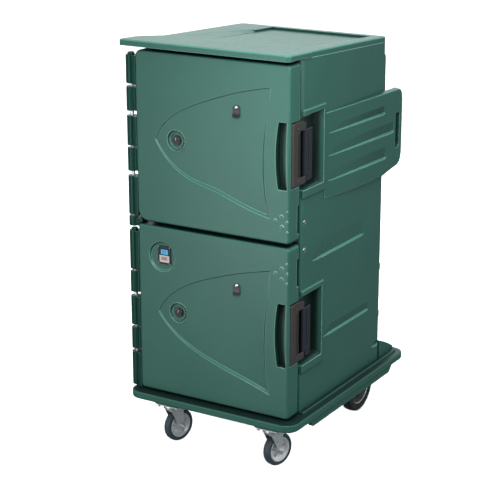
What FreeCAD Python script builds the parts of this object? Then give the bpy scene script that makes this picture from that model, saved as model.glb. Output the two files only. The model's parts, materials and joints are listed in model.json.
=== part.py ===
"""Two-door insulated proofing cabinet on a wheeled base.

Frame: +Z up, front (doors) faces -Y, hinges on -X, latches on +X, millimetres.
The origin is the middle of the footprint on the floor.
"""
import FreeCAD, Part
import math
import os
from FreeCAD import Vector as V

os.makedirs("parts", exist_ok=True)

# ------------------------------------------------------------------ driving dimensions
XC = 11.5             # body centre line sits this far from the footprint centre
HALF_W = 373.0        # half width of the insulated body
Y_FRONT = -400.0      # body front rim
Y_REAR = 360.0        # body rear wall
Z_BODY = 268.0        # underside of the body
SKIN = 8.0            # moulded wall
TOP_FRONT = 1816.0    # top surface above the body front
TOP_FALL = 0.05       # fall of the top toward the rear, per mm
CAP_T = 25.0          # top cap thickness
BROW_Y = -520.0       # front of the brow
BROW_Z = 1795.0       # underside of the brow
LIN_HALF = 272.0      # compartment half width
LIN_BACK = 310.0      # compartment rear wall
LIN_T = 3.0           # compartment wall thickness
UP_LO, UP_HI = 1070.0, 1730.0     # upper compartment
LO_LO, LO_HI = 330.0, 975.0       # lower compartment
DOOR_L, DOOR_R = -378.0, 373.0    # door edges
DOOR_F, DOOR_B = -500.0, -420.0   # door faces
DU_LO, DU_HI = 1038.0, 1780.0     # upper door
DL_LO, DL_HI = 262.0, 1022.0      # lower door
PIN_X, PIN_Y, PIN_R = -418.0, -470.0, 8.0   # hinge line
RUN = 0.05            # running clearance on a radius
BASE_X, BASE_Y = 422.0, 549.5     # bumper half sizes
BASE_LO, BASE_HI = 224.0, 258.0   # bumper underside and rim
APRON_LO = 190.0      # lower edge of the side aprons
LATCH_U, LATCH_L = 1408.5, 639.0  # latch centre heights
LATCH_H = 132.0       # half height of the latch frame
WHEEL_R, WHEEL_W = 75.0, 36.0     # front casters
CAST_X, CAST_Y = 258.0, -437.0    # swivel axes
TRAIL = 35.0          # from swivel axis to axle
CAST_TURN = -16.0     # rest heading of the casters, degrees
REAR_R, REAR_Y = 127.0, 325.0     # rear wheels
WING_Z1 = 1532.0      # top of a push wing
WING_END = 475.0      # rear end of a push wing
STUD_Z = (1107.0, 987.0)          # side stud heights


def top_z(y):
    return TOP_FRONT - TOP_FALL * (y - Y_FRONT)


# ------------------------------------------------------------------ helpers
def box(x0, x1, y0, y1, z0, z1):
    return Part.makeBox(x1 - x0, y1 - y0, z1 - z0, V(x0, y0, z0))


def cyl(axis, c, r, a0, a1):
    if axis == "x":
        return Part.makeCylinder(r, a1 - a0, V(a0, c[0], c[1]), V(1, 0, 0))
    if axis == "y":
        return Part.makeCylinder(r, a1 - a0, V(c[0], a0, c[1]), V(0, 1, 0))
    return Part.makeCylinder(r, a1 - a0, V(c[0], c[1], a0), V(0, 0, 1))


def place(axis, a, b, h):
    if axis == "x":
        return V(h, a, b)
    if axis == "y":
        return V(a, h, b)
    return V(a, b, h)


def outline(axis, pts, radii, h):
    """Closed wire in the plane across axis, with rounded corners."""
    n = len(pts)
    if not isinstance(radii, (list, tuple)):
        radii = [radii] * n
    starts, ends, mids = [], [], []
    for i in range(n):
        p, q, s = pts[i - 1], pts[i], pts[(i + 1) % n]
        r = radii[i]
        ux, uy = p[0] - q[0], p[1] - q[1]
        vx, vy = s[0] - q[0], s[1] - q[1]
        lu, lv = math.hypot(ux, uy), math.hypot(vx, vy)
        ux, uy, vx, vy = ux / lu, uy / lu, vx / lv, vy / lv
        if r <= 0:
            starts.append(q)
            ends.append(q)
            mids.append(None)
            continue
        ang = math.acos(max(-1, min(1, ux * vx + uy * vy)))
        t = r / math.tan(ang / 2)
        a = (q[0] + ux * t, q[1] + uy * t)
        b = (q[0] + vx * t, q[1] + vy * t)
        bx, by = ux + vx, uy + vy
        bl = math.hypot(bx, by)
        d = r / math.sin(ang / 2)
        c = (q[0] + bx / bl * d, q[1] + by / bl * d)
        m = (c[0] - bx / bl * r, c[1] - by / bl * r)
        starts.append(a)
        ends.append(b)
        mids.append(m)
    edges = []
    for i in range(n):
        j = (i + 1) % n
        if mids[i] is not None:
            edges.append(Part.Arc(place(axis, *starts[i], h), place(axis, *mids[i], h),
                place(axis, *ends[i], h)).toShape())
        a, b = ends[i], starts[j]
        if math.hypot(a[0] - b[0], a[1] - b[1]) > 1e-6:
            edges.append(Part.makeLine(place(axis, *a, h), place(axis, *b, h)))
    return Part.Wire(edges)


def prism(axis, pts, a0, a1, radii=0):
    w = outline(axis, pts, radii, a0)
    return Part.Face(w).extrude(place(axis, 0, 0, a1 - a0))


def rect(a0, a1, b0, b1):
    return [(a0, b0), (a1, b0), (a1, b1), (a0, b1)]


def soften(shape, r, pick, kind="fillet"):
    """Round (or chamfer) the edges that pick() accepts, with smaller radii if the first does not fit."""
    for k in (1.0, 0.6, 0.3):
        edges = [e for e in shape.Edges if pick(e)]
        if not edges:
            print("soften: no edges")
            return shape
        try:
            out = shape.makeFillet(r * k, edges) if kind == "fillet" else shape.makeChamfer(r * k, edges)
            if out.isValid() and out.Volume > 0 and len(out.Solids) == len(shape.Solids):
                return out
        except Exception:
            pass
    print("soften failed at r", r)
    return shape


def at(e, axis, val, tol=0.01):
    k = {"x": 0, "y": 1, "z": 2}[axis]
    return all(abs(v.Point[k] - val) < tol for v in e.Vertexes)


def along(e, axis):
    if len(e.Vertexes) < 2:
        return False
    k = {"x": 0, "y": 1, "z": 2}[axis]
    d = e.Vertexes[-1].Point - e.Vertexes[0].Point
    return abs(abs(d[k]) - d.Length) < 1e-4 and d.Length > 1e-3


def turned(shape, centre, deg, axis=V(0, 0, 1)):
    s = shape.copy()
    s.rotate(V(*centre), axis, deg)
    return s


def mirror_x(shape):
    return shape.mirror(V(0, 0, 0), V(1, 0, 0))


def ruled(points_a, points_b):
    wa = Part.makePolygon([V(*p) for p in points_a] + [V(*points_a[0])])
    wb = Part.makePolygon([V(*p) for p in points_b] + [V(*points_b[0])])
    return Part.makeLoft([wa, wb], True, True)


NODES = {}


def node(name, *shapes):
    parts = []
    for s in shapes:
        parts.extend(s.Solids if s.Solids else [s])
    shape = parts[0] if len(parts) == 1 else Part.Compound(parts)
    shape = shape.copy()
    shape.translate(V(XC, 0, 0))
    if not shape.isValid():
        print("NOT VALID", name)
    NODES[name] = shape


# ------------------------------------------------------------------ base platform
rim = prism("z", rect(-BASE_X, BASE_X, -BASE_Y, BASE_Y), BASE_LO, BASE_HI, 60)
rim = soften(rim, 7, lambda e: at(e, "z", BASE_HI) or at(e, "z", BASE_LO))
tray = prism("z", rect(-392, 392, -396, 531), BASE_HI - 1, Z_BODY, [6, 6, 44, 44])
tray = soften(tray, 4, lambda e: at(e, "z", Z_BODY) and e.BoundBox.YMax > -390)
apron = prism("x", [(-372, BASE_LO + 1), (-345, APRON_LO), (390, APRON_LO), (428, BASE_LO + 1)], -412,
    412, [0, 8, 8, 0])
apron = apron.cut(box(-390, 390, -500, 500, APRON_LO - 5, BASE_LO))
pads = [box(s * CAST_X - 60, s * CAST_X + 60, CAST_Y - 48, CAST_Y + 60, APRON_LO,
    BASE_LO + 1) for s in (-1, 1)]
# a ramp closes the foot of the rear wall
ramp = prism("x", [(Y_REAR, BASE_HI - 1), (Y_REAR, 350), (384, 343), (449, 313), (511, 279), (521, 266),
    (521, BASE_HI - 1)], -HALF_W, HALF_W, [0, 0, 20, 60, 9, 5, 0])
ramp = ramp.common(prism("z", rect(-HALF_W, HALF_W, Y_REAR, 521), 250, 360, [0, 0, 24, 24]))
base = rim.multiFuse([tray, apron, ramp] + pads)
for s in (-1, 1):
    base = base.cut(box(min(s * 234, s * 316), max(s * 234, s * 316), REAR_Y - 143, REAR_Y + 143, 150, 261))
    mount = box(min(s * 190, s * 229), max(s * 190, s * 229), REAR_Y - 45, REAR_Y + 45, 165, BASE_LO + 1)
    base = base.fuse(mount)
base = base.removeSplitter()
node("base_platform", base)

# ------------------------------------------------------------------ insulated body
shell = prism("z", rect(-HALF_W, HALF_W, Y_FRONT, Y_REAR), Z_BODY, 1835, [16, 16, 22, 22])
# side scoops: the wall leans in, then steps back out on a ledge
def scoop(x, y0, y1, z_top, z_led, depth, lead=30, trail=8, lip=6):
    a = [(x + 1, y0, z_led + 3), (x + 1, y0, z_led - 1), (x - 0.4, y0, z_led + 1)]
    b = [(x + 1, y0 + lead, z_top), (x + 1, y0 + lead, z_led - lip), (x - depth, y0 + lead, z_led + 3)]
    c = [(x + 1, y1 - trail, z_top), (x + 1, y1 - trail, z_led - lip), (x - depth, y1 - trail, z_led + 3)]
    d = [(x + 1, y1, z_top - 4), (x + 1, y1, z_led - 2), (x - 0.4, y1, z_led + 1)]
    return ruled(a, b).multiFuse([ruled(b, c), ruled(c, d)])


scoops = [scoop(HALF_W, -300, 170, 1004, 918, 6, 80, 14),
          scoop(HALF_W, -195, 232, 592, 545, 5.5, 60, 10),
          scoop(HALF_W, 284, 352, 366, 341, 6, 20, 6, 4)]
for s in scoops:
    shell = shell.cut(s)
    shell = shell.cut(mirror_x(s))
cavity = box(-HALF_W + SKIN, HALF_W - SKIN, Y_FRONT + 15, Y_REAR - SKIN, Z_BODY + SKIN, 1835)
lid_plane = prism("x", [(-560, top_z(-560) - CAP_T), (420, top_z(420) - CAP_T), (420, 1900),
    (-560, 1900)], -460, 460)
cav_plane = lid_plane.copy()
cav_plane.translate(V(0, 0, -SKIN))
cavity = cavity.cut(cav_plane)
shell = shell.cut(lid_plane).cut(cavity)
for lo, hi in ((UP_LO, UP_HI), (LO_LO, LO_HI)):
    shell = shell.cut(prism("y", rect(-LIN_HALF, LIN_HALF, lo, hi), Y_FRONT - 2, Y_FRONT + 16, 18))
# latch pockets with a raised surround
for zc in (LATCH_U, LATCH_L):
    lo, hi = zc - 156, zc + 148
    surround = prism("x", rect(Y_FRONT + 2, -206, lo - 44, hi + 26), HALF_W - 5, HALF_W + 8, 5)
    surround = soften(surround, 6.5, lambda e: at(e, "x", HALF_W + 8))
    house = box(327, HALF_W - 1, Y_FRONT + 1, -218, lo - SKIN, hi + SKIN)
    shell = shell.fuse(surround).fuse(house)
    pocket = ruled([(335, -402, lo), (335, -402, hi), (335, -236, hi - 10), (335, -236, lo + 10)],
                   [(383, -402, lo - 6), (383, -402, hi + 4), (383, -224, hi + 4), (383, -224, lo - 6)])
    shell = shell.cut(pocket)
    shell = shell.fuse(box(334, 364, -403, -316, zc + LATCH_H + 8, hi + 3))
for z in STUD_Z:
    shell = shell.cut(cyl("x", (-373, z), 13, HALF_W - 3, HALF_W + 2))
shell = shell.removeSplitter()
node("body_shell", shell)

cap_plan = [(-445, BROW_Y), (362, BROW_Y), (379, -504), (379, -338), (HALF_W, -324), (HALF_W, Y_REAR),
    (-HALF_W, Y_REAR), (-HALF_W, -292), (-445, -388)]
cap = prism("z", cap_plan, 1700, 1850, [12, 6, 6, 4, 3, 22, 22, 20, 16])
prof = prism("x", [(-540, BROW_Z), (Y_FRONT, BROW_Z), (Y_FRONT, top_z(Y_FRONT) - CAP_T),
    (380, top_z(380) - CAP_T), (380, top_z(380)), (-540, top_z(-540))], -460, 400)
cap = cap.common(prof)
cap = soften(cap, 7, lambda e: all(abs(v.Point.z - top_z(v.Point.y)) < 0.01 for v in e.Vertexes))
recess = prism("x", [(-262, top_z(-262) - 9), (314, top_z(314) - 12), (314, 1900), (-262, 1900)], -184, 318)
facet = ruled([(-345, -262, top_z(-262) + .2), (-184, -262, top_z(-262) - 9), (-184, -262, 1870),
    (-345, -262, 1870)],
              [(-200, 160, top_z(160) + .2), (-184, 160, top_z(160) - 9), (-184, 160, 1870),
                  (-200, 160, 1870)])
cap = cap.cut(recess).cut(facet)
node("top_cap", cap)


def liner(lo, hi):
    outer = prism("y", rect(-LIN_HALF, LIN_HALF, lo, hi), Y_FRONT + 1, LIN_BACK, 18)
    inner = prism("y", rect(-LIN_HALF + LIN_T, LIN_HALF - LIN_T, lo + LIN_T, hi - LIN_T), Y_FRONT - 1,
        LIN_BACK - LIN_T, 15)
    s = outer.cut(inner)
    # drip groove around a raised floor
    rib = prism("z", rect(-200, 200, -340, 270), lo + LIN_T - 1, lo + LIN_T + 3, 20)
    return s.fuse(rib).removeSplitter()


node("liner_upper", liner(UP_LO, UP_HI))
node("liner_lower", liner(LO_LO, LO_HI))


TRAY_EDGE = 234.0     # half the width kept free for a 457 mm wide sheet pan
LEDGE_IN = 214.0


def rail_set(lo, hi, count):
    """Uprights on the side walls, each carrying flat ledges that a sheet pan slides on."""
    out = []
    wall = LIN_HALF - LIN_T
    pitch = (hi - lo - 110) / (count - 1)
    for s in (-1, 1):
        for y in (-300, -20, 260):
            out.append(box(min(s * wall, s * TRAY_EDGE), max(s * wall, s * TRAY_EDGE), y - 8, y + 8,
                lo + 20, hi - 20))
        for k in range(count):
            z = lo + 55 + k * pitch
            out.append(box(min(s * TRAY_EDGE, s * LEDGE_IN), max(s * TRAY_EDGE, s * LEDGE_IN), -350, 292,
                z, z + 3))
    return out


node("tray_rails_upper", *rail_set(UP_LO, UP_HI, 8))
node("tray_rails_lower", *rail_set(LO_LO, LO_HI, 8))

# latch keepers stand in the pockets, studs sit between them
for tag, zc in (("upper", LATCH_U), ("lower", LATCH_L)):
    k = prism("z", [(335, -372), (352, -372), (356, -364), (356, -356), (335, -356)], zc - 78, zc + 78,
        [0, 2, 2, 2, 0])
    flange = box(335, 339, -372, -300, zc - 78, zc + 78)
    node("latch_keeper_" + tag, k.fuse(flange).removeSplitter())
studs = []
for z in STUD_Z:
    disc = cyl("x", (-373, z), 10, HALF_W - 3, HALF_W + 3)
    disc = soften(disc, 3, lambda e: at(e, "x", HALF_W + 3))
    studs.append(disc)
node("side_studs", *studs)

# ------------------------------------------------------------------ push wings
def wing_scoop(y0, y1, z_top, z_led):
    """A louver-like hollow that deepens with the wing, so the plate is never cut through."""
    def face(y):
        return 375 + 27 * (y + 206) / 636

    def row(y, depth, top, lip):
        return [(face(y) + 1, y, top), (face(y) + 1, y, z_led - lip), (face(y) - depth, y, z_led + 2)]

    a, b, c, d = row(y0, 0.3, z_led + 4, 1), row(y0 + 24, 1.4, z_top, 4), row(y1 - 14, 9, z_top,
        6), row(y1, 0.4, z_top - 4, 1)
    return ruled(a, b).multiFuse([ruled(b, c), ruled(c, d)])


def wing():
    rear = [(440, 1184), (459, 1193), (470, 1207), (WING_END, 1226), (WING_END, 1496), (471, 1514),
        (461, 1525)]
    outer = [(-206, 1158), (300, 1166)] + rear + [(446, WING_Z1), (-206, WING_Z1)]
    root = [(-206, 1172), (330, 1142)] + [(y, z - 6 if y < 445 else z) for y,
        z in rear] + [(446, WING_Z1 + 4), (-206, WING_Z1 + 4)]
    w = ruled([(372, y, z) for y, z in root], [(403, y, z) for y, z in outer])
    plan = prism("z", [(HALF_W, -206), (375, -206), (402, 430), (402, WING_END + 5), (375, WING_END + 5),
        (375, Y_REAR + 1), (HALF_W, Y_REAR + 1)], 1100, 1560)
    w = w.common(plan)
    w = soften(w, 4, lambda e: e.BoundBox.XMin > 374.6 and e.BoundBox.XMax > 400 and not along(e,
        "z") and e.BoundBox.YLength + e.BoundBox.ZLength > 8)
    slot = prism("x", [(411, 1262), (449, 1270), (449, 1424), (411, 1432)], 360, 420, 14)
    w = w.cut(slot)
    for y0, y1, zt, zl in ((-176, 312, 1482, 1444), (-176, 396, 1398, 1346), (-176, 330, 1296, 1238)):
        w = w.cut(wing_scoop(y0, y1, zt, zl))
    return w.removeSplitter()


wing_r = wing()
node("push_wing_right", wing_r)
node("push_wing_left", mirror_x(wing_r))

# ------------------------------------------------------------------ hinges
UP_DOOR_K = [(1629, 1752), (1360, 1490), (1054, 1227)]
UP_BODY_K = [(1511, 1616), (1248, 1350)]
LO_DOOR_K = [(805, 982), (547, 681), (262, 421)]
LO_BODY_K = [(699, 795), (434, 534)]
FOOT_K = (1003, 1046)


def tube(lo, hi, r=23.0):
    t = cyl("z", (PIN_X, PIN_Y), r, lo, hi)
    return soften(t, 3, lambda e: at(e, "z", hi) or at(e, "z", lo))


def door_knuckle(lo, hi):
    """A round barrel on the pin, joined to the door edge by a web set back from its front."""
    web = prism("z", [(PIN_X, PIN_Y - 13), (-386, PIN_Y - 13), (DOOR_L, PIN_Y - 22), (DOOR_L, PIN_Y + 24),
        (PIN_X, PIN_Y + 20)], lo + 1.5, hi - 1.5, [0, 6, 0, 0, 0])
    # a strap flush with the door face, with a groove between it and the barrel
    strap = prism("z", [(-399, DOOR_F + 2), (DOOR_L, DOOR_F + 2), (DOOR_L, PIN_Y), (-399, PIN_Y)], lo, hi,
        [6, 0, 0, 0])
    lug = tube(lo, hi).multiFuse([web, strap]).removeSplitter()
    return lug.cut(cyl("z", (PIN_X, PIN_Y), PIN_R + RUN, lo - 1, hi + 1))


def body_knuckle(lo, hi):
    """The same barrel on an arm that runs back to a pad on the side wall."""
    arm = prism("z", [(PIN_X, PIN_Y - 12), (-383, PIN_Y - 12), (-383, -392), (PIN_X - 12, -392),
        (PIN_X - 20, PIN_Y)], lo + 1.5, hi - 1.5, [0, 4, 0, 6, 0])
    pad = box(-388, -HALF_W, -396, -330, lo + 1.5, hi - 1.5)
    lug = arm.multiFuse([pad, tube(lo, hi)]).removeSplitter()
    return lug.cut(cyl("z", (PIN_X, PIN_Y), PIN_R, lo - 1, hi + 1))


def foot_knuckle(lo, hi):
    lug = body_knuckle(lo, hi)
    tab = prism("y", [(-384, 1025.5), (-363, 1025.5), (-363, 1043.5), (-384, 1043.5)], -494, -448,
        [0, 4, 9, 0])
    return lug.fuse(tab).removeSplitter()


node("hinge_door_upper", *[door_knuckle(*k) for k in UP_DOOR_K])
node("hinge_body_upper", *([body_knuckle(*k) for k in UP_BODY_K] + [foot_knuckle(*FOOT_K)]))
node("hinge_door_lower", *[door_knuckle(*k) for k in LO_DOOR_K])
node("hinge_body_lower", *[body_knuckle(*k) for k in LO_BODY_K])
pin_u = cyl("z", (PIN_X, PIN_Y), PIN_R, 1006, 1756).fuse(cyl("z", (PIN_X, PIN_Y), 13, 1755, 1762))
pin_l = cyl("z", (PIN_X, PIN_Y), PIN_R, 258, 986).fuse(cyl("z", (PIN_X, PIN_Y), 13, 985, 991))
node("hinge_pin_upper", pin_u.removeSplitter())
node("hinge_pin_lower", pin_l.removeSplitter())

# ------------------------------------------------------------------ doors
SAIL_UP = [(-284, 1408), (-225, 1493), (-153, 1543), (-14, 1604), (139, 1654), (286, 1686), (271, 1569),
    (259, 1382), (288, 1131), (139, 1168), (5, 1213), (-123, 1252), (-204, 1304)]
SAIL_LO = [(-282, 640), (-234, 709), (-147, 776), (-20, 833), (134, 882), (287, 918), (277, 797),
    (267, 630), (267, 506), (289, 352), (104, 409), (-20, 449), (-147, 511), (-234, 578)]
DOTS_UP = [(337, 1154, 10), (308, 1135, 9), (339, 1111, 10), (363, 1176, 6), (362, 1134, 7), (364, 1092, 6)]
DOTS_LO = [(339, 932, 10), (310, 909, 9), (339, 886, 10), (363, 912, 7), (363, 955, 6), (363, 871, 6)]
VENT_X, VENT_U, VENT_L = -177.0, 1411.0, 647.0


def sail_cut(pts):
    """Curved recess with sloping edges, whose flat floor tilts: 3 deep at the point, 11 at the lower right."""
    k = max(range(len(pts)), key=lambda i: (pts[i][0] + pts[i][1]))
    m = max(range(len(pts)), key=lambda i: (pts[i][0] - pts[i][1]))
    z_tip = pts[0][1]
    cx = sum(p[0] for p in pts) / len(pts)
    cz = sum(p[1] for p in pts) / len(pts)

    def depth(x, z):
        return 3.0 + 0.0079 * (x + 284) - 0.0126 * (z - z_tip)

    def wire(spread, y_of):
        q = []
        for p in pts:
            d = math.hypot(p[0] - cx, p[1] - cz)
            f = (d - spread * depth(*p)) / d
            x, z = cx + (p[0] - cx) * f, cz + (p[1] - cz) * f
            q.append(V(x, y_of(x, z), z))
        top = Part.BSplineCurve()
        top.interpolate(q[0:k + 1])
        right = Part.BSplineCurve()
        right.interpolate(q[k:m + 1])
        low = Part.BSplineCurve()
        low.interpolate(q[m:] + [q[0]])
        return Part.Wire([top.toShape(), right.toShape(), low.toShape()])
    return Part.makeLoft([wire(0.0, lambda x, z: DOOR_F - 0.6 * depth(x, z)),
        wire(2.4, lambda x, z: DOOR_F + depth(x, z))], True, True)


def door(lo, hi, latch_z, vent_z, sail, dots, clip, thermo, foot_r, head_r):
    s = prism("y", rect(DOOR_L, DOOR_R, lo, hi), DOOR_F, DOOR_B, [foot_r, 14, 16, head_r])
    s = soften(s, 9, lambda e: at(e, "y", DOOR_F))
    s = s.cut(prism("y", rect(DOOR_L + 12, 292, lo + 12, hi - 12), DOOR_F + 16, DOOR_B + 1,
        [max(foot_r - 12, 4), 4, 4, 4]))
    s = s.cut(sail_cut(sail))
    # finger pocket: a crescent beside the latch
    zl, zh = latch_z - 142, latch_z + 138
    left = Part.Arc(V(318, DOOR_F - 1, zl), V(306, DOOR_F - 1, latch_z), V(320, DOOR_F - 1, zh)).toShape()
    right = Part.Arc(V(360, DOOR_F - 1, zh), V(355, DOOR_F - 1, latch_z), V(361, DOOR_F - 1, zl)).toShape()
    w = Part.Wire([left, Part.makeLine(V(320, DOOR_F - 1, zh), V(360, DOOR_F - 1, zh)), right,
        Part.makeLine(V(361, DOOR_F - 1, zl), V(318, DOOR_F - 1, zl))])
    s = s.cut(Part.Face(w).extrude(V(0, 37, 0)))
    # seat of the latch frame in the door edge
    s = s.cut(box(365, DOOR_R + 1, -490, DOOR_B + 1, latch_z - LATCH_H - 6, latch_z + LATCH_H + 6))
    # finger reliefs on the rear edge
    for a, b in notches[thermo]:
        s = s.cut(box(366, DOOR_R + 1, -436, DOOR_B + 1, a, b))
    # vent dish
    dish = Part.makeCone(48, 40, 12, V(VENT_X, DOOR_F - 0.01, vent_z), V(0, 1, 0))
    s = s.cut(dish)
    s = s.cut(cyl("y", (VENT_X, vent_z), 6 + RUN, DOOR_F + 5, DOOR_F + 17))
    if thermo:
        s = s.cut(Part.makeCone(66, 60, 7, V(-256, DOOR_F - 0.01, 889), V(0, 1, 0)))
        s = s.cut(box(-279, -213, DOOR_F + 5, DOOR_F + 14.5, 857, 937))
    for x, z, r in dots:
        d = Part.makeCone(r, r - 2.0, 2.2, V(x, DOOR_F + 0.2, z), V(0, -1, 0))
        s = s.fuse(d)
    # clip screw hole
    s = s.cut(cyl("y", (clip[0], clip[1] + 14), 3.0, DOOR_F - 1, DOOR_F + 12))
    return s.removeSplitter()


notches = {False: ((1070, 1191),), True: ((840, 959),)}
CLIP_U = (120.0, 1570.0)
CLIP_L = (119.0, 807.0)
node("door_upper_shell", door(DU_LO, DU_HI, LATCH_U, VENT_U, SAIL_UP, DOTS_UP, CLIP_U, False, 50, 28))
node("door_lower_shell", door(DL_LO, DL_HI, LATCH_L, VENT_L, SAIL_LO, DOTS_LO, CLIP_L, True, 16, 14))


def door_liner(lo, hi, c_lo, c_hi):
    plate = prism("y", rect(DOOR_L + 8, 362, lo + 8, hi - 8), DOOR_B, DOOR_B + 3, 24)
    pan = prism("y", rect(-LIN_HALF + 15, LIN_HALF - 15, c_lo + 15, c_hi - 15), DOOR_B + 2, -393, 22)
    pan = soften(pan, 6, lambda e: at(e, "y", -393))
    pan = pan.cut(prism("y", rect(-LIN_HALF + 51, LIN_HALF - 51, c_lo + 51, c_hi - 51), -400, -390, 16))
    return plate.fuse(pan).removeSplitter()


def gasket(c_lo, c_hi):
    ring = prism("y", rect(-LIN_HALF - 30, LIN_HALF + 30, c_lo - 30, c_hi + 30), DOOR_B + 3,
        Y_FRONT - 0.4, 34)
    ring = ring.cut(prism("y", rect(-LIN_HALF - 6, LIN_HALF + 6, c_lo - 6, c_hi + 6), DOOR_B, Y_FRONT, 14))
    groove = prism("y", rect(-LIN_HALF - 21, LIN_HALF + 21, c_lo - 21, c_hi + 21), Y_FRONT - 4, Y_FRONT,
        26).cut(prism("y", rect(-LIN_HALF - 15, LIN_HALF + 15, c_lo - 15, c_hi + 15), Y_FRONT - 5,
        Y_FRONT + 1, 21))
    return ring.cut(groove)


node("door_upper_liner", door_liner(DU_LO, DU_HI, UP_LO, UP_HI))
node("door_lower_liner", door_liner(DL_LO, DL_HI, LO_LO, LO_HI))
node("door_upper_gasket", gasket(UP_LO, UP_HI))
node("door_lower_gasket", gasket(LO_LO + 0, LO_HI - 0))

# ------------------------------------------------------------------ latches
PX, PY = 366.0, -376.0


def latch(zc):
    """A C-shaped strip on the door edge whose two arms carry a pin, and the paddle that turns on it."""
    h = LATCH_H
    lo, hi = zc - h, zc + h
    arm_lo, arm_hi = lo + 28, hi - 40
    strip = box(365, 376, -487, -418, lo, hi)
    strip = soften(strip, 3, lambda e: along(e, "z") and e.BoundBox.XMin > 370)
    ridge = prism("z", [(374, -483), (379.2, -479), (379.2, -468), (374, -462)], lo + 4, hi - 4,
        [0, 1.6, 1.6, 0])
    arms = []
    for z0, z1 in ((lo, arm_lo), (arm_hi, hi)):
        arm = prism("z", [(357, -367), (374, -367), (376, -376), (376, -419), (365, -419), (357, -400)],
            z0, z1, [4, 3, 0, 0, 0, 0])
        arms.append(arm)
    frame = strip.multiFuse([ridge] + arms)
    trim = ruled([(350, -419, hi + .5), (350, -366, hi - 12), (350, -366, hi + 5)],
        [(390, -419, hi + .5), (390, -366, hi - 12), (390, -366, hi + 5)])
    frame = frame.cut(trim)
    frame = frame.cut(cyl("z", (PX, PY), 4.0, lo + 6, hi - 16))
    frame = frame.removeSplitter()
    pin = cyl("z", (PX, PY), 4.0, lo + 6, hi - 16)
    plan = [(PX - 2, -391), (PX + 7, -391), (PX + 9, -384), (PX + 9, -314), (359.5, -314), (357.5, -326),
        (PX - 3, -332), (PX - 8, -366), (PX - 8, -382)]
    pad = prism("z", plan, arm_lo + 1.5, arm_hi - 1.5, [2, 2, 3, 4, 2, 2, 0, 0, 3])
    tail = prism("z", [(PX + 9, -360), (PX + 9, -314), (359.5, -314), (357.5, -326), (PX - 3, -332),
        (PX - 3, -360)], arm_lo - 22, arm_hi - 1.5, [3, 4, 2, 2, 0, 3])
    pad = pad.fuse(tail)
    grip = box(PX + 6, PX + 10, -352, -344, arm_lo + 16, arm_hi - 16)
    pad = pad.cut(grip)
    pad = pad.cut(cyl("z", (PX, PY), 4.0 + RUN, lo, hi))
    return frame, pad.removeSplitter(), pin


for tag, zc in (("upper", LATCH_U), ("lower", LATCH_L)):
    f, p, pin = latch(zc)
    node("latch_frame_" + tag, f)
    node("latch_paddle_" + tag, p)
    node("latch_pin_" + tag, pin)


# ------------------------------------------------------------------ vents, clips, thermometer
def vent_knob(zc):
    y = DOOR_F + 11.6
    k = Part.makeCone(21, 18.5, 7, V(VENT_X, y, zc), V(0, -1, 0))
    k = k.fuse(cyl("y", (VENT_X, zc), 6.0, y - 1, DOOR_F + 16))
    bar = box(VENT_X - 15, VENT_X + 15, y - 12, y - 6, zc - 4, zc + 4)
    bar = soften(bar, 2, lambda e: at(e, "y", y - 12))
    k = k.fuse(bar)
    for i in range(8):
        a = math.radians(45 * i + 22.5)
        k = k.cut(cyl("y", (VENT_X + 21.5 * math.cos(a), zc + 21.5 * math.sin(a)), 3.2, y - 8, y + 0.5))
    return k.removeSplitter()


node("vent_knob_upper", vent_knob(VENT_U))
node("vent_knob_lower", vent_knob(VENT_L))


def clip(cx, cz):
    y = DOOR_F + 3.7
    # the door is recessed here, so the plate stands on the recessed face
    plate = prism("x", [(y - 2.6, cz + 24), (y - 1.0, cz + 24), (y - 1.0, cz - 6), (y - 1.4, cz - 14),
        (y - 7.5, cz - 28), (y - 9.1, cz - 27), (y - 3.2, cz - 13), (y - 2.6, cz - 6)], cx - 17, cx + 17)
    round_ = prism("y", rect(cx - 17, cx + 17, cz - 30, cz + 25), y - 20, y + 2, [12, 12, 16, 16])
    plate = plate.common(round_)
    plate = plate.cut(cyl("y", (cx, cz + 14), 4.0, y - 10, y + 1))
    screw = cyl("y", (cx, cz + 14), 3.0, y - 4, y + 6.9)
    dome = Part.makeSphere(10.5, V(cx, y + 1.2, cz + 14)).common(box(cx - 12, cx + 12, y - 12, y - 3.7,
        cz, cz + 28))
    return plate, screw.fuse(dome).removeSplitter()


for tag, (cx, cz) in (("upper", CLIP_U), ("lower", CLIP_L)):
    p, sc = clip(cx, cz)
    node("menu_clip_" + tag, p)
    node("clip_screw_" + tag, sc)

bez = box(-279, -213, DOOR_F + 1.5, DOOR_F + 14.5, 857, 937)
bez = soften(bez, 3, lambda e: at(e, "y", DOOR_F + 1.5))
bez = bez.cut(box(-272, -220, DOOR_F + 1, DOOR_F + 5, 864, 930))
node("thermo_bezel", bez)
node("thermo_screen", box(-272, -220, DOOR_F + 3.2, DOOR_F + 5, 898, 930),
    box(-272, -220, DOOR_F + 3.2, DOOR_F + 5, 864, 897))

# ------------------------------------------------------------------ rear heating and humidity module
MY0, MY1, MZ0, MZ1, MX = Y_REAR, 466.0, 1172.0, 1681.0, 330.0
mod = prism("z", rect(-MX, MX, MY0, MY1), MZ0, MZ1, [0, 0, 30, 30])
mod = soften(mod, 8, lambda e: (at(e, "z", MZ0) or at(e, "z", MZ1)) and e.BoundBox.YMax > MY0 + 1)
mod = mod.cut(box(-MX + 8, MX - 8, MY0 + 6, MY1 - 10, MZ0 + 8, MZ1 - 8))
panel = prism("y", rect(-250, 250, 1430, 1610), MY1 - 6, MY1 + 1, 16)
mod = mod.cut(panel)
mod = mod.cut(box(-130, 130, MY1 - 90, MY1 + 1, 1214, 1306))
for i in range(9):
    mod = mod.cut(box(170, 290, MY1 - 11, MY1 + 1, 1220 + i * 18, 1228 + i * 18))
mod = mod.cut(box(-228, -192, MY1 - 11, MY1 + 1, 1500, 1546))
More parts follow.
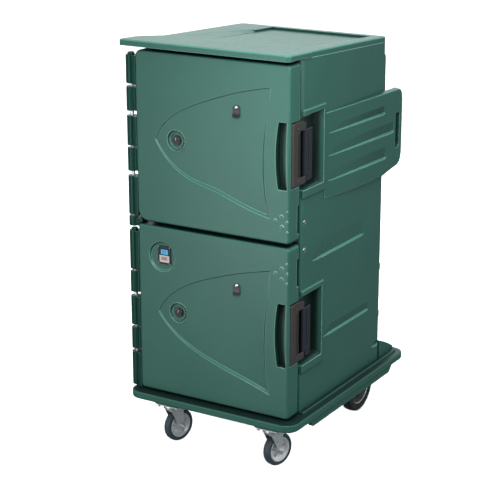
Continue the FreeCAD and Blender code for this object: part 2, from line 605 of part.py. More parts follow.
for x in (60, 190):
    mod = mod.cut(cyl("y", (x, 1520), 6 + RUN, MY1 - 12, MY1 + 1))
mod = mod.cut(box(-296, -244, MY1 - 30, MY1 + 1, 1222, 1266))
node("module_housing", mod.removeSplitter())


def dial(x, z, r):
    k = Part.makeCone(r, r - 3, 18, V(x, MY1 - 5.6, z), V(0, 1, 0))
    k = k.fuse(cyl("y", (x, z), 6.0, MY1 - 11.5, MY1 - 5))
    k = k.cut(box(x - 1.5, x + 1.5, MY1 + 10.5, MY1 + 13, z + 4, z + r))
    for i in range(12):
        a = math.radians(30 * i + 15)
        k = k.cut(cyl("y", (x + (r + 1.2) * math.cos(a), z + (r + 1.2) * math.sin(a)), 3, MY1 - 4, MY1 + 14))
    return k


node("module_knob_heat", dial(60, 1520, 26))
node("module_knob_damp", dial(190, 1520, 26))
rock = prism("x", [(MY1 - 7, 1505), (MY1 - 7, 1541), (MY1 + 1, 1541), (MY1 - 3, 1523), (MY1 - 4.4, 1505)],
    -224.5, -195.5)
node("module_rocker", rock)
drawer = box(-126, 126, MY1 - 86, MY1 - 2, 1218, 1302)
drawer = drawer.cut(box(-121, 121, MY1 - 81, MY1 - 7, 1224, 1303))
face = prism("y", rect(-140, 140, 1206, 1314), MY1 + 0.6, MY1 + 9, 8)
face = soften(face, 2.5, lambda e: at(e, "y", MY1 + 9))
neck = box(-124, 124, MY1 - 3, MY1 + 1, 1220, 1300)
drawer = drawer.fuse(neck).fuse(face)
drawer = drawer.cut(prism("x", [(MY1 + 3, 1296), (MY1 + 10, 1302), (MY1 + 10, 1280), (MY1 + 3, 1284)],
    -50, 50))
node("water_drawer", drawer.removeSplitter())
inlet = box(-296, -244, MY1 - 30, MY1 + 1.6, 1222, 1266)
inlet = inlet.cut(box(-291, -249, MY1 - 22, MY1 + 3, 1227, 1261))
inlet = inlet.multiFuse([box(-283, -280, MY1 - 23, MY1 - 6, 1240, 1248),
    box(-260, -257, MY1 - 23, MY1 - 6, 1240, 1248), box(-271.5, -268.5, MY1 - 23, MY1 - 5, 1248, 1256)])
node("power_inlet", inlet.removeSplitter())
hook = prism("z", [(300, Y_REAR), (330, Y_REAR), (330, Y_REAR + 26), (352, Y_REAR + 26),
    (352, Y_REAR + 34), (322, Y_REAR + 34), (322, Y_REAR + 8), (300, Y_REAR + 8)], 688, 718,
    [0, 0, 2, 2, 3, 6, 2, 2])
hook2 = hook.copy()
hook2.translate(V(0, 0, -230))
node("cord_hooks", hook, hook2)


# ------------------------------------------------------------------ front casters
def caster(side):
    sx = side * CAST_X
    # local frame: swivel axis at the origin, wheel trails toward +Y, axle along X
    z0 = WHEEL_R
    neck = cyl("z", (0, 0), 30, 163, 184.6)
    crown = prism("z", rect(-26, 26, -26, 44), 157, 163.2, 8)
    blades = []
    for s in (-1, 1):
        b = prism("x", [(-24, 163), (-20, 150), (TRAIL - 14, z0 - 4), (TRAIL + 12, z0 - 6), (44, 150),
            (44, 163)], 0, 4, [0, 0, 12, 12, 0, 0])
        b.translate(V(s * 24 - 2, 0, 0))
        blades.append(b)
    axle = cyl("x", (TRAIL, z0), 6.0, -30, 30)
    heads = [cyl("x", (TRAIL, z0), 11, 26, 32), cyl("x", (TRAIL, z0), 11, -32, -26)]
    bpin = cyl("x", (75, 155), 4.0, -25, 25)
    lugs = [prism("x", [(20, 163), (20, 150), (62, 146), (84, 148), (84, 162), (60, 163)], s * 24 - 2,
        s * 24 + 2, [0, 0, 6, 6, 6, 0]) for s in (-1, 1)]
    fork = neck.multiFuse([crown, axle, bpin] + blades + heads + lugs)
    fork = fork.cut(cyl("z", (0, 0), 8.0 + RUN, 150, 190)).removeSplitter()
    hub = cyl("x", (TRAIL, z0), 57, -15, 15)
    hub = soften(hub, 3, lambda e: e.Length > 100)
    for s in (-1, 1):
        dish = Part.makeCone(47, 40, 8, V(s * 15.01, TRAIL, z0), V(-s, 0, 0))
        core = cyl("x", (TRAIL, z0), 17, min(s * 3, s * 17), max(s * 3, s * 17))
        hub = hub.cut(dish).fuse(core)
    for i in range(5):
        a = math.radians(72 * i + 20)
        hub = hub.cut(cyl("x", (TRAIL + 31 * math.cos(a), z0 + 31 * math.sin(a)), 8, -20, 20))
    hub = hub.cut(cyl("x", (TRAIL, z0), 6.0 + RUN, -30, 30)).removeSplitter()
    tyre = cyl("x", (TRAIL, z0), WHEEL_R, -WHEEL_W / 2, WHEEL_W / 2)
    tyre = soften(tyre, 12, lambda e: e.Length > 100)
    tyre = tyre.cut(cyl("x", (TRAIL, z0), 57, -30, 30))
    pedal = prism("x", [(68, 149), (82, 149), (100, 157), (120, 158), (120, 162), (98, 164), (84, 162),
        (68, 162)], -20, 20, [4, 3, 3, 1, 1, 4, 3, 5])
    pedal = pedal.cut(cyl("x", (75, 155), 4.0 + RUN, -21, 21))
    out = []
    for s in (fork, hub, tyre, pedal):
        s = turned(s, (0, 0, 0), CAST_TURN)
        s.translate(V(sx, CAST_Y, 0))
        out.append(s)
    plate = prism("z", rect(sx - 58, sx + 58, CAST_Y - 46, CAST_Y + 46), 185, APRON_LO, 8)
    plate = plate.fuse(cyl("z", (sx, CAST_Y), 8.0, 156, 187))
    plate = plate.fuse(cyl("z", (sx, CAST_Y), 12.0, 151, 156.4))
    bolts = []
    for dx in (-46, 46):
        for dy in (-34, 34):
            bolts.append(cyl("z", (sx + dx, CAST_Y + dy), 8, 180, 185.5))
    plate = plate.multiFuse(bolts).removeSplitter()
    return plate, out


plates = []
for tag, side in (("left", -1), ("right", 1)):
    plate, (fork, hub, tyre, pedal) = caster(side)
    plates.append(plate)
    node("caster_fork_" + tag, fork)
    node("caster_hub_" + tag, hub)
    node("caster_tyre_" + tag, tyre)
    node("caster_brake_" + tag, pedal)
node("caster_plates", *plates)

# ------------------------------------------------------------------ rear wheels
axle = cyl("x", (REAR_Y, REAR_R), 9.0, -314, 314)
brackets = []
for s in (-1, 1):
    b = prism("x", [(REAR_Y - 42, 223.5), (REAR_Y - 42, 190), (REAR_Y - 16, REAR_R - 14),
        (REAR_Y + 16, REAR_R - 14), (REAR_Y + 42, 190), (REAR_Y + 42, 223.5)], s * 231.5 - 2.5,
        s * 231.5 + 2.5, [0, 0, 10, 10, 0, 0])
    brackets.append(b)
    brackets.append(cyl("x", (REAR_Y, REAR_R), 14, min(s * 307, s * 318), max(s * 307, s * 318)))
    brackets.append(cyl("x", (REAR_Y, REAR_R), 14, min(s * 233, s * 245.5), max(s * 233, s * 245.5)))
node("rear_axle", axle.multiFuse(brackets).removeSplitter())
for tag, s in (("left", -1), ("right", 1)):
    c = s * 276.5
    hub = cyl("x", (REAR_Y, REAR_R), 93, c - 16, c + 16)
    hub = soften(hub, 3, lambda e: e.Length > 200)
    for t in (-1, 1):
        hub = hub.cut(Part.makeCone(84, 76, 10, V(c + t * 16.01, REAR_Y, REAR_R), V(-t, 0, 0)))
        hub = hub.fuse(cyl("x", (REAR_Y, REAR_R), 24, min(c + t * 4, c + t * 30), max(c + t * 4, c + t * 30)))
    for i in range(6):
        a = math.radians(60 * i + 30)
        hub = hub.cut(cyl("x", (REAR_Y + 52 * math.cos(a), REAR_R + 52 * math.sin(a)), 14, c - 20, c + 20))
    hub = hub.cut(cyl("x", (REAR_Y, REAR_R), 9.0 + RUN, c - 40, c + 40)).removeSplitter()
    tyre = cyl("x", (REAR_Y, REAR_R), REAR_R, c - 24, c + 24)
    tyre = soften(tyre, 14, lambda e: e.Length > 200)
    tyre = tyre.cut(cyl("x", (REAR_Y, REAR_R), 93, c - 40, c + 40))
    node("rear_hub_" + tag, hub)
    node("rear_tyre_" + tag, tyre)

# ------------------------------------------------------------------ export
for name in sorted(NODES):
    NODES[name].exportStep("parts/%s.step" % name)
bb = FreeCAD.BoundBox()
for s in NODES.values():
    bb.add(s.BoundBox)
print(len(NODES), "nodes", bb)
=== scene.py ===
import json
import math
import bpy
import bmesh
from mathutils import Matrix, Vector


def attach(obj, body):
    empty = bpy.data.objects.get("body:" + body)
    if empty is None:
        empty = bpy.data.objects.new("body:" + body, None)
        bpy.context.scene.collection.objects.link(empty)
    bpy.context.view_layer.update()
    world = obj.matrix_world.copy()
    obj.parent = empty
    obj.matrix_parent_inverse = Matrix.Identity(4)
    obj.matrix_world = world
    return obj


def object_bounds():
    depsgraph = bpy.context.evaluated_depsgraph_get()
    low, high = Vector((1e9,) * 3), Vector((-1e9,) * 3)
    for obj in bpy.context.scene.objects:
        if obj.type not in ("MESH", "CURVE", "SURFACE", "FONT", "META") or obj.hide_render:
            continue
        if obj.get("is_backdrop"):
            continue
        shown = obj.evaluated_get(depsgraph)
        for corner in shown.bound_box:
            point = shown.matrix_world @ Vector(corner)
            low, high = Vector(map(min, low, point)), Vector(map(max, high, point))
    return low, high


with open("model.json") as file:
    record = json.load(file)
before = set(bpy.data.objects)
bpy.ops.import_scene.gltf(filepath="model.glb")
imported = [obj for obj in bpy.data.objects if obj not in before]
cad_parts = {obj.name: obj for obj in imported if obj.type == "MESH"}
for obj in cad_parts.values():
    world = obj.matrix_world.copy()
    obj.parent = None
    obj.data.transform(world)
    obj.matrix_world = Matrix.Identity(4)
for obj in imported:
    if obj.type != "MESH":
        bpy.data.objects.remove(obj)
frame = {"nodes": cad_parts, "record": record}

LO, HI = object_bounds()
NODES = frame["nodes"]
SCENE = bpy.context.scene
TAU = 2 * math.pi
SAMPLES = 6           # rays of each bevel and ambient occlusion node


# ---------------------------------------------------------------- node helpers
class Tree:
    """A material's node tree with short calls for the nodes used here."""

    def __init__(self, name):
        self.mat = bpy.data.materials.new(name)
        self.mat.use_nodes = True
        self.nt = self.mat.node_tree
        self.bsdf = next(n for n in self.nt.nodes if n.type == "BSDF_PRINCIPLED")
        self.coord = self.nt.nodes.new("ShaderNodeTexCoord")

    def new(self, kind, **inputs):
        """A node with some inputs set or linked, by socket name."""
        n = self.nt.nodes.new(kind)
        for k, v in inputs.items():
            self.put(n.inputs[k], v)
        return n

    def put(self, socket, v):
        if isinstance(v, bpy.types.NodeSocket):
            self.nt.links.new(v, socket)
        else:
            socket.default_value = v

    def set(self, **inputs):
        """Sets or links inputs of the shader; an underscore stands for a blank."""
        for k, v in inputs.items():
            self.put(self.bsdf.inputs[k.replace("_", " ")], v)

    def noise(self, scale, detail=3.0, rough=0.5, stretch=None):
        vec = self.coord.outputs["Object"]
        if stretch:
            m = self.nt.nodes.new("ShaderNodeMapping")
            self.put(m.inputs["Vector"], vec)
            m.inputs["Scale"].default_value = stretch
            vec = m.outputs["Vector"]
        n = self.new("ShaderNodeTexNoise", Vector=vec, Scale=scale, Detail=detail, Roughness=rough)
        return n.outputs["Fac"]

    def ramp(self, fac, stops):
        """A colour ramp with stops of (position, colour)."""
        n = self.nt.nodes.new("ShaderNodeValToRGB")
        self.put(n.inputs["Fac"], fac)
        el = n.color_ramp.elements
        while len(el) < len(stops):
            el.new(0.5)
        for e, (p, c) in zip(el, stops):
            e.position = p
            e.color = c if len(c) == 4 else (*c, 1)
        return n.outputs["Color"]

    def span(self, fac, a0, a1, b0, b1):
        """A value mapped from a0..a1 to b0..b1, held at the ends."""
        n = self.new("ShaderNodeMapRange", Value=fac)
        for k, v in (("From Min", a0), ("From Max", a1), ("To Min", b0), ("To Max", b1)):
            n.inputs[k].default_value = v
        return n.outputs["Result"]

    def math(self, op, a, b=0.0):
        n = self.nt.nodes.new("ShaderNodeMath")
        n.operation = op
        self.put(n.inputs[0], a)
        self.put(n.inputs[1], b)
        return n.outputs[0]

    def times(self, a, b):
        return self.math("MULTIPLY", a, b)

    def mix(self, fac, a, b, blend="MIX"):
        """Two colours mixed by fac; either may be a socket or a plain colour."""
        n = self.nt.nodes.new("ShaderNodeMix")
        n.data_type = "RGBA"
        n.blend_type = blend
        self.put(n.inputs["Factor"], fac)
        for key, c in (("A", a), ("B", b)):
            self.put(n.inputs[key], c if isinstance(c, bpy.types.NodeSocket) or len(c) == 4 else (*c, 1))
        return n.outputs["Result"]

    def bump(self, height, strength, distance, normal=None):
        n = self.new("ShaderNodeBump", Height=height, Strength=strength, Distance=distance)
        if normal is not None:
            self.put(n.inputs["Normal"], normal)
        return n.outputs["Normal"]

    def rounded(self, radius):
        """The normal as if edges were rounded to a radius."""
        n = self.nt.nodes.new("ShaderNodeBevel")
        n.samples = SAMPLES
        n.inputs["Radius"].default_value = radius
        return n.outputs["Normal"]

    def axes(self, vector):
        """The X, Y and Z outputs of a vector."""
        n = self.nt.nodes.new("ShaderNodeSeparateXYZ")
        self.put(n.inputs[0], vector)
        return n.outputs

    def place(self):
        """The X, Y and Z of the point in the row frame, in metres."""
        return self.axes(self.coord.outputs["Object"])

    def facing(self):
        """The X, Y and Z of the surface normal."""
        geo = self.nt.nodes.new("ShaderNodeNewGeometry")
        return self.axes(geo.outputs["Normal"])

    def edges(self, radius):
        """A mask for painted highlights: 1 on outward edges and corners, 0 on flats and in hollows, weaker
        where they face down.
        """
        geo = self.nt.nodes.new("ShaderNodeNewGeometry")
        soft = self.rounded(radius)
        n = self.nt.nodes.new("ShaderNodeVectorMath")
        n.operation = "DOT_PRODUCT"
        self.put(n.inputs[0], soft)
        self.put(n.inputs[1], geo.outputs["Normal"])
        turn = self.span(n.outputs["Value"], 0.992, 0.93, 0.0, 1.0)
        outward = self.span(self.crevice(radius * 2.5), 0.62, 0.86, 0.0, 1.0)
        highlight = self.times(turn, outward)
        return self.times(highlight, self.span(self.axes(soft)["Z"], -0.6, 0.3, 0.3, 1.0))

    def crevice(self, distance):
        """1 in the open, falling to 0 in corners closer than a distance."""
        n = self.nt.nodes.new("ShaderNodeAmbientOcclusion")
        n.samples = SAMPLES
        n.inputs["Distance"].default_value = distance
        return n.outputs["AO"]


def scaled(c, k):
    """A colour made darker or lighter by a factor."""
    return tuple(min(1.0, v * k) for v in c)


def moulded(name, rgb, rough=0.45, grain=1.0, wave=1.0, edge=0.5, occl=0.6, spec=0.5, round_r=0.002,
            speck=0.0, coat=0.0, deep=0.8, shade=None, tint=None, highlight=0.2, slope_shade=0.0, slope_light=0.1, pit=0.05):
    """Moulded plastic: clouded colour, fine pebble, slow waviness, painted edge highlights and painted corner
    shade.

    grain and wave scale the pebble and the waviness; edge and highlight set how strong and how pale the
    painted edge highlights are; occl and deep set the painted shade in near and far corners. slope_shade
    paints shade on slopes that face down, and with it slope_light paints light on those that face up.
    shade(t) gives a mask of painted shade, where the colour goes to pit times rgb.
    """
    t = Tree(name)
    cloud = t.noise(3.0, 3.0, 0.5)
    fine = t.noise(260.0, 2.0, 0.6)
    col = t.ramp(cloud, [(0.32, scaled(rgb, 0.94)), (0.68, scaled(rgb, 1.05))])
    dimmed = t.mix(1.0, col, scaled((1, 1, 1), 0.84), "MULTIPLY")
    col = t.mix(t.span(fine, 0.35, 0.65, 0.0, 0.30), col, dimmed)
    if speck:
        dots = t.span(t.noise(520.0, 1.0, 0.5), 0.62, 0.70, 0.0, speck)
        col = t.mix(dots, col, scaled(rgb, 1.7))
    # painted highlight: outward edges turned far paler, most where they face up
    if edge:
        edge_highlight = t.times(t.edges(0.004), t.span(t.noise(22.0, 3.0), 0.3, 0.7, 0.75 * edge, edge))
        col = t.mix(edge_highlight, col, tuple(4.5 * v + 0.16 * highlight for v in rgb))
    # painted shade on slopes that face down, painted light on slopes that face up
    if slope_shade:
        z = t.facing()["Z"]
        col = t.mix(t.span(z, -0.08, -0.34, 0.0, 0.72 * slope_shade), col, scaled(rgb, 0.18))
        up = t.times(t.span(z, 0.08, 0.34, 0.0, slope_light), t.span(z, 0.80, 0.92, 1.0, 0.0))
        col = t.mix(up, col, scaled(rgb, 3.4))
    if shade:
        col = t.mix(shade(t), col, scaled(rgb, pit))
    # painted shade: the colour darkened in near and far corners and recesses
    if occl:
        near = t.times(t.span(t.crevice(0.03), 0.25, 0.9, 1.0, 0.0), occl)
        col = t.mix(near, col, scaled(rgb, 0.14))
        far = t.times(t.span(t.crevice(0.14), 0.15, 0.78, 1.0, 0.0), deep)
        col = t.mix(far, col, scaled(rgb, 0.05))
    t.set(Base_Color=col)
    t.set(Roughness=t.span(t.noise(34.0, 3.0), 0.3, 0.7, rough - 0.02, rough + 0.03))
    nrm = t.rounded(round_r) if round_r else None
    nrm = t.bump(t.noise(3.5, 1.0, 0.4), 0.06 * wave, 0.02, nrm)
    nrm = t.bump(t.noise(420.0, 2.0, 0.55), 0.09 * grain, 0.0006, nrm)
    t.set(Normal=nrm)
    t.bsdf.inputs["IOR"].default_value = 1.5
    t.bsdf.inputs["Specular IOR Level"].default_value = spec
    if tint:
        t.bsdf.inputs["Specular Tint"].default_value = (*tint, 1)
    if coat:
        t.bsdf.inputs["Coat Weight"].default_value = coat
        t.bsdf.inputs["Coat Roughness"].default_value = 0.12
    return t.mat


# masks of painted shade for shade=, up to 1 where the colour is darkest, in metres in the row frame
def pocket_shade(t):
    """The floors of the latch pockets, which lie deeper than the side wall."""
    p = t.place()
    deep = t.times(t.span(p["X"], 0.3805, 0.366, 0.0, 1.0), t.span(p["X"], 0.335, 0.345, 0.0, 1.0))
    back = t.span(p["Y"], -0.322, -0.312, 0.55, 0.97)
    return t.times(t.times(deep, back), t.span(p["Y"], -0.20, -0.215, 0.0, 1.0))


def grip_shade(t):
    """The floors of the finger pockets in the door fronts."""
    p = t.place()
    deep = t.times(t.span(p["Y"], -0.495, -0.475, 0.0, 0.85), t.span(p["Y"], -0.458, -0.452, 1.0, 0.0))
    wide = t.times(t.span(p["X"], 0.308, 0.314, 0.0, 1.0), t.span(p["X"], 0.368, 0.3735, 1.0, 0.0))
    return t.times(deep, wide)


def slot_shade(t):
    """The leading face of the paddle, inside the slot of the latch frame."""
    return t.span(t.place()["Y"], -0.378, -0.3845, 0.0, 1.0)


def base_shade(t):
    """Painted shade on upward faces of the base: darkest in front of the doors, lighter toward the rear."""
    y = t.place()["Y"]
    front = t.span(y, -0.54, -0.40, 0.97, 0.86)
    back = t.span(y, 0.30, 0.56, 0.0, 0.36)
    return t.times(t.span(t.facing()["Z"], 0.55, 0.97, 0.0, 1.0), t.math("SUBTRACT", front, back))


def metal(name, rgb, rough=0.3, brush=None, pits=0.2, corner_dim=0.35, round_r=0.0012, metallic=1.0):
    """Metal: brushed or cast grain, darker in its corners."""
    t = Tree(name)
    grain = t.noise(160.0, 4.0, 0.6, stretch=brush) if brush else t.noise(70.0, 4.0, 0.6)
    col = t.ramp(grain, [(0.3, scaled(rgb, 0.86)), (0.7, scaled(rgb, 1.06))])
    # the colour darkened in corners and creases
    ao = t.span(t.crevice(0.02), 0.2, 0.95, 1.0 - corner_dim, 1.0)
    col = t.mix(t.math("SUBTRACT", 1.0, ao), col, (0.05, 0.048, 0.045))
    t.set(Base_Color=col, Metallic=metallic)
    t.set(Roughness=t.span(grain, 0.3, 0.7, max(0.05, rough - 0.08), rough + 0.10))
    nrm = t.rounded(round_r)
    nrm = t.bump(grain, 0.12 + pits * 0.3, 0.0004, nrm)
    t.set(Normal=nrm)
    return t.mat


def rubber(name, rgb, rough):
    """Rubber: dusty, scuffed and slightly rough."""
    t = Tree(name)
    dust = t.noise(26.0, 5.0, 0.62)
    col = t.ramp(dust, [(0.35, scaled(rgb, 0.85)), (0.75, scaled(rgb, 1.22))])
    scuff = t.span(t.noise(190.0, 3.0, 0.6), 0.60, 0.74, 0.0, 0.30)
    col = t.mix(scuff, col, tuple(0.6 * v + 0.08 for v in rgb))
    t.set(Base_Color=col)
    t.set(Roughness=t.span(dust, 0.3, 0.7, rough - 0.08, rough + 0.12))
    nrm = t.bump(t.noise(350.0, 3.0, 0.6), 0.18, 0.0006, t.rounded(0.0015))
    t.set(Normal=nrm)
    return t.mat


def glass_screen(name, rgb, glow=0.0):
    """Display window: a cell grid under a clear glossy face."""
    t = Tree(name)
    grid = t.nt.nodes.new("ShaderNodeTexBrick")
    t.put(grid.inputs["Vector"], t.coord.outputs["Object"])
    grid.inputs["Scale"].default_value = 900.0
    grid.inputs["Color1"].default_value = (*rgb, 1)
    grid.inputs["Color2"].default_value = (*scaled(rgb, 0.93), 1)
    grid.inputs["Mortar"].default_value = (*scaled(rgb, 0.8), 1)
    shade = t.noise(60.0, 2.0)
    col = t.mix(t.span(shade, 0.3, 0.7, 0.0, 0.25), grid.outputs["Color"], scaled(rgb, 0.8))
    t.set(Base_Color=col, Roughness=t.span(shade, 0.3, 0.7, 0.10, 0.18))
    t.bsdf.inputs["Coat Weight"].default_value = 1.0
    t.bsdf.inputs["Coat Roughness"].default_value = 0.04
    if glow:
        t.set(Emission_Color=col)
        t.bsdf.inputs["Emission Strength"].default_value = glow
    return t.mat


GREEN = (0.025, 0.112, 0.086)      # the body plastic
LEAF = (0.90, 1.0, 0.97)           # the tint of its gloss
# what the shells, the printed marks and the lamp lenses have in common
SHELL = dict(rough=0.38, speck=0.2, edge=0.85, tint=LEAF)
PRINT = dict(grain=0.2, edge=0.0, occl=0.0, wave=0.0, round_r=0)
LENS = dict(rough=0.20, grain=0.0, edge=0.3, wave=0.0, coat=1.0)
MAT = {
    "green_shell": moulded("green_shell", GREEN, highlight=1.9, slope_shade=0.9, slope_light=0.38, **SHELL),
    # shell_door and shell_pocket: the body green with painted shade on the floors of the finger and latch
    # pockets
    "shell_door": moulded("shell_door", GREEN, highlight=1.6, slope_shade=1.0, slope_light=0.06, pit=0.25,
                          shade=grip_shade, **SHELL),
    "shell_pocket": moulded("shell_pocket", GREEN, highlight=1.9, slope_shade=1.0, slope_light=0.38, pit=0.12,
                            shade=pocket_shade, **SHELL),
    "liner_plastic": moulded("liner_plastic", (0.10, 0.19, 0.165), 0.36, grain=0.5, wave=0.6, edge=0.3,
                             deep=0.35),
    "hinge_green": moulded("hinge_green", scaled(GREEN, 0.34), 0.30, grain=0.1, edge=1.0, wave=0.0,
                           spec=0.3, round_r=0.003, occl=0.4, deep=0.35, tint=(0.35, 1.0, 0.78), highlight=0.5),
    "latch_grey": moulded("latch_grey", (0.034, 0.031, 0.029), 0.38, grain=0.7, edge=0.7, wave=0.2,
                          round_r=0.0018, deep=0.5),
    # paddle_grey: painted shade on the paddle's leading face, inside the latch slot
    "paddle_grey": moulded("paddle_grey", (0.014, 0.019, 0.028), 0.42, grain=0.7, edge=1.0, wave=0.2,
                           spec=0.3, round_r=0.0018, deep=0.3, shade=slot_shade),
    "seal_rubber": rubber("seal_rubber", (0.018, 0.018, 0.018), 0.62),
    "steel": metal("steel", (0.66, 0.67, 0.68), 0.22, brush=(0.6, 6.0, 6.0)),
    "pin_steel": metal("pin_steel", (0.93, 0.94, 0.94), 0.45, pits=0.0, corner_dim=0.0),
    "caster_zinc": metal("caster_zinc", (0.84, 0.86, 0.87), 0.34, pits=0.3, metallic=0.8),
    "hub_silver": metal("hub_silver", (0.86, 0.88, 0.88), 0.42, pits=0.5, metallic=0.55),
    # hub_dark: near-black rear hubs, painted shade of the apron above them
    "hub_dark": moulded("hub_dark", (0.020, 0.024, 0.024), 0.45, edge=0.5, wave=0.0),
    "rim_bright": metal("rim_bright", (0.92, 0.93, 0.93), 0.30, pits=0.1, corner_dim=0.0),
    "tyre_slate": rubber("tyre_slate", (0.040, 0.060, 0.074), 0.40),
    "tyre_black": rubber("tyre_black", (0.007, 0.008, 0.009), 0.50),
    "dark_knob": moulded("dark_knob", (0.020, 0.016, 0.017), 0.34, grain=0.6, edge=0.5, wave=0.0, deep=0.3),
    "black_trim": moulded("black_trim", (0.010, 0.010, 0.011), 0.30, grain=0.4, edge=0.4, wave=0.0),
    "screen": glass_screen("screen", (0.012, 0.035, 0.075)),
    "lcd_blue": glass_screen("lcd_blue", (0.10, 0.42, 0.66), glow=0.30),
    "label_white": moulded("label_white", (0.55, 0.52, 0.56), 0.35, **PRINT),
    "label_cream": moulded("label_cream", (0.62, 0.57, 0.46), 0.35, **PRINT),
    "label_tan": moulded("label_tan", (0.36, 0.22, 0.15), 0.35, **PRINT),
    "lamp_amber": moulded("lamp_amber", (0.55, 0.20, 0.02), **LENS),
    "lamp_green": moulded("lamp_green", (0.03, 0.38, 0.08), **LENS),
    "print_white": moulded("print_white", (0.62, 0.64, 0.62), 0.45, **PRINT),
    "module_grey": moulded("module_grey", scaled(GREEN, 0.80), 0.42, edge=0.5, tint=LEAF),
    # base_green: painted shade on the base top, darkest in front of the doors
    "base_green": moulded("base_green", scaled(GREEN, 0.95), 0.42, speck=0.2, edge=0.5, spec=0.35,
                          shade=base_shade, pit=0.16, tint=LEAF),
    "tank_white": moulded("tank_white", (0.52, 0.54, 0.52), 0.32, grain=0.3, edge=0.2, wave=0.2, occl=0.5),
}
# nodes whose material isn't the one named like their slot
NODE_MAT = {
    "base_platform": "base_green", "body_shell": "shell_pocket",
    "door_upper_shell": "shell_door", "door_lower_shell": "shell_door",
    "hinge_pin_upper": "pin_steel", "hinge_pin_lower": "pin_steel",
    "latch_paddle_upper": "paddle_grey", "latch_paddle_lower": "paddle_grey",
    "rear_hub_left": "hub_dark", "rear_hub_right": "hub_dark",
}
SLOT_OF = {part["node"]: part["material_slot"] for part in frame["record"]["subparts"]}

for node, o in NODES.items():
    m = MAT[NODE_MAT.get(node) or SLOT_OF.get(node, "green_shell")]
    if not o.data.materials:
        o.data.materials.append(m)
    for i in range(len(o.data.materials)):
        o.data.materials[i] = m

# ---------------------------------------------------------------- shapes for the small pieces
MM = 0.001
SHIFT = 11.5          # the body centre line, in the row frame, in mm
SHARP = 38            # edges that turn by more degrees than this stay sharp
FRONT, BACK, RIGHT, LEFT, UP = (Vector(v) for v in ((0, -1, 0), (0, 1, 0), (1, 0, 0), (-1, 0, 0), (0, 0, 1)))


def pt(x, y, z):
    """A point given in mm from the body centre line, in the row frame in metres."""
    return Vector((x + SHIFT, y, z)) * MM


def mesh_object(name, bm, mat, smooth=True):
    """An object from a bmesh, shaded smooth except across sharp edges."""
    me = bpy.data.meshes.new(name)
    bmesh.ops.recalc_face_normals(bm, faces=bm.faces)
    bm.to_mesh(me)
    bm.free()
    o = bpy.data.objects.new(name, me)
    SCENE.collection.objects.link(o)
    me.materials.append(mat)
    if smooth:
        me.shade_smooth()
        me.set_sharp_from_angle(angle=math.radians(SHARP))
    return o


def piece(name, bm, mat, body):
    """A detail piece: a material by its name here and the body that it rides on."""
    o = mesh_object(name, bm, MAT[mat])
    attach(o, body)
    return o


def turned(bm, profile, at, axis, segs=32, loop=False):
    """A turned shape: rings of (radius, height) or (radius, height, lobe depth) in mm about an axis."""
    z = Vector(axis).normalized()
    x = z.orthogonal().normalized()
    y = z.cross(x)
    rings = []
    for p in profile:
        up = at + z * p[1] * MM
        if p[0] == 0:
            rings.append([bm.verts.new(up)] * segs)
            continue
        lobe = p[2] if len(p) > 2 else 0.0
        ring = []
        for i in range(segs):
            a = TAU * i / segs
            away = (x * math.cos(a) + y * math.sin(a)) * p[0] * (1 + lobe * math.cos(6 * a))
            ring.append(bm.verts.new(up + away * MM))
        rings.append(ring)
    if loop:
        rings.append(rings[0])
    for a, b in zip(rings, rings[1:]):
        for i in range(segs):
            k = (i + 1) % segs
            f = [a[i], a[k], b[k], b[i]]
            f = [v for n, v in enumerate(f) if v not in f[:n]]
            if len(f) > 2:
                bm.faces.new(f)


def screw(bm, at, axis, r):
    """A pan-head screw with a six-lobe recess."""
    head = [(0, 0), (r, 0), (r, 0.2 * r), (0.93 * r, 0.42 * r), (0.74 * r, 0.58 * r), (0.52 * r, 0.64 * r)]
    recess = [(0.36 * r, 0.65 * r, 0.14), (0.32 * r, 0.28 * r, 0.14), (0, 0.24 * r)]
    turned(bm, head + recess, at, axis, 24)


def hex_nut(bm, at, axis, r, h):
    """A chamfered nut with its bolt end."""
    turned(bm, [(0, 0), (r, 0), (r, 0.8 * h), (0.86 * r, h)], at, axis, 6)
    end = [(0.86 * r, h), (0.6 * r, h), (0.58 * r, 1.35 * h), (0.50 * r, 1.5 * h), (0, 1.5 * h)]
    turned(bm, end, at, axis, 6)


def block(bm, lo, hi, soft=0.6, steps=2, spin=None):
    """A box with rounded edges, corners in mm, turned about its middle if spin = (axis, degrees) is given."""
    a, b = pt(*lo), pt(*hi)
    mid = (a + b) / 2
    size = b - a
    m = Matrix.Translation(mid)
    if spin:
        m = m @ Matrix.Rotation(math.radians(spin[1]), 4, spin[0])
    m = m @ Matrix.Diagonal((size.x, size.y, size.z, 1))
    made = bmesh.ops.create_cube(bm, size=1.0, matrix=m)["verts"]
    edges = {e for v in made for e in v.link_edges}
    bmesh.ops.bevel(bm, geom=list(edges), offset=soft * MM, segments=steps, affect="EDGES", profile=0.5)


def stick(bm, a, b, n, width, lift):
    """A flat bar with pointed ends from a to b, standing lift off a face whose normal is n."""
    d = (b - a).normalized()
    s = d.cross(n).normalized() * width / 2
    k = d * width / 2
    out = [a, a + k + s, b - k + s, b, b - k - s, a + k - s]
    low = [bm.verts.new(p) for p in out]
    top = [bm.verts.new(p + n * lift) for p in out]
    bm.faces.new(low)
    bm.faces.new(top)
    for i in range(6):
        k = (i + 1) % 6
        bm.faces.new((low[i], low[k], top[k], top[i]))


# the seven strokes of a figure on a unit square, and the strokes of each digit
STROKES = {"a": ((0, 1), (1, 1)), "b": ((1, 1), (1, .5)), "c": ((1, .5), (1, 0)), "d": ((0, 0), (1, 0)),
           "e": ((0, .5), (0, 0)), "f": ((0, 1), (0, .5)), "g": ((0, .5), (1, .5))}
FIGURES = ("abcdef", "bc", "abged", "abgcd", "fgbc", "afgcd", "afgedc", "abc", "abcdefg", "abcdfg")


